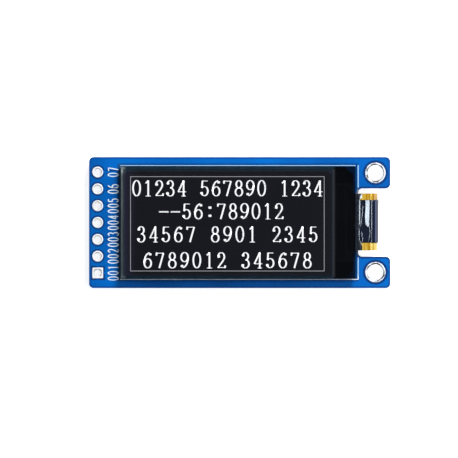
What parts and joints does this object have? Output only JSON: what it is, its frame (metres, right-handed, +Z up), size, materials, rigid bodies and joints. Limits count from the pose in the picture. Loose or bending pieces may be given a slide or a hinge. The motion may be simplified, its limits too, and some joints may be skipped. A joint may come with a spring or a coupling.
{
  "type": "oled display module",
  "caption": "Small monochrome OLED display module: glass panel on a blue circuit board, pin header holes at one end, folded flex in a notch between two screw holes at the other.",
  "frame": {"origin": "under the middle of the board, on the plane that the tallest part on the back touches", "axes": "+X from the pin header to the flex, +Y across the board, +Z up out of the display"},
  "size_m": [0.0454, 0.0198, 0.004],
  "materials": {
    "board": "glass-filled board under dark blue lacquer, satin cut edges",
    "masked_copper": "copper under glossy blue lacquer",
    "white_ink": "screen-printed white ink",
    "plating": "bright tinned copper",
    "solder": "bright solder, slightly grainy",
    "clear_glass": "polished float glass with ground edges",
    "rear_glass": "etched glass, greenish at the edge",
    "polarizer_film": "near-black circular polarizer, semi-gloss",
    "lit_pixels": "lit white pixels",
    "dark_pixels": "unlit pixels",
    "seal_glue": "cured resin",
    "drying_sheet": "matte white sheet",
    "silicon": "polished silicon",
    "black_resin": "black cured resin",
    "white_tape": "foam tape",
    "polyimide": "glossy amber polyimide film over copper",
    "dark_film": "glossy dark cover film",
    "bond_film": "cured bonding film",
    "clear_glue": "clear flexible glue",
    "black_epoxy": "moulded black epoxy",
    "ceramic": "fired tan ceramic",
    "resistor_glaze": "black glass glaze"
  },
  "bodies": {
    "root": {"circuit_board": "board", "front_copper": "masked_copper", "back_copper": "masked_copper", "front_ink": "white_ink", "back_ink": "white_ink", "header_pad_1": "plating", "header_pad_2": "plating", "header_pad_3": "plating", "header_pad_4": "plating", "header_pad_5": "plating", "header_pad_6": "plating", "header_pad_7": "plating", "mounting_pad_upper": "plating", "mounting_pad_lower": "plating", "component_lands": "plating", "flex_lands": "plating", "front_glass": "clear_glass", "polarizer": "polarizer_film", "lit_image": "lit_pixels", "pixel_matrix": "dark_pixels", "edge_seal": "seal_glue", "drying_sheet": "drying_sheet", "rear_glass": "rear_glass", "driver_chip": "silicon", "ledge_resin": "black_resin", "mounting_tape": "white_tape", "flex_circuit": "polyimide", "flex_cover": "dark_film", "flex_bond": "bond_film", "flex_fingers": "plating", "flex_solder": "solder", "glue_bead": "clear_glue", "regulator_body": "black_epoxy", "regulator_leads": "plating", "capacitor_1": "ceramic", "capacitor_2": "ceramic", "capacitor_3": "ceramic", "capacitor_4": "ceramic", "capacitor_5": "ceramic", "capacitor_6": "ceramic", "capacitor_7": "ceramic", "capacitor_8": "ceramic", "resistor_1": "resistor_glaze", "resistor_2": "resistor_glaze", "resistor_3": "resistor_glaze", "resistor_4": "resistor_glaze", "resistor_5": "resistor_glaze", "resistor_6": "resistor_glaze", "capacitor_ends": "solder", "resistor_ends": "solder", "component_solder": "solder"}
  },
  "joints": []
}
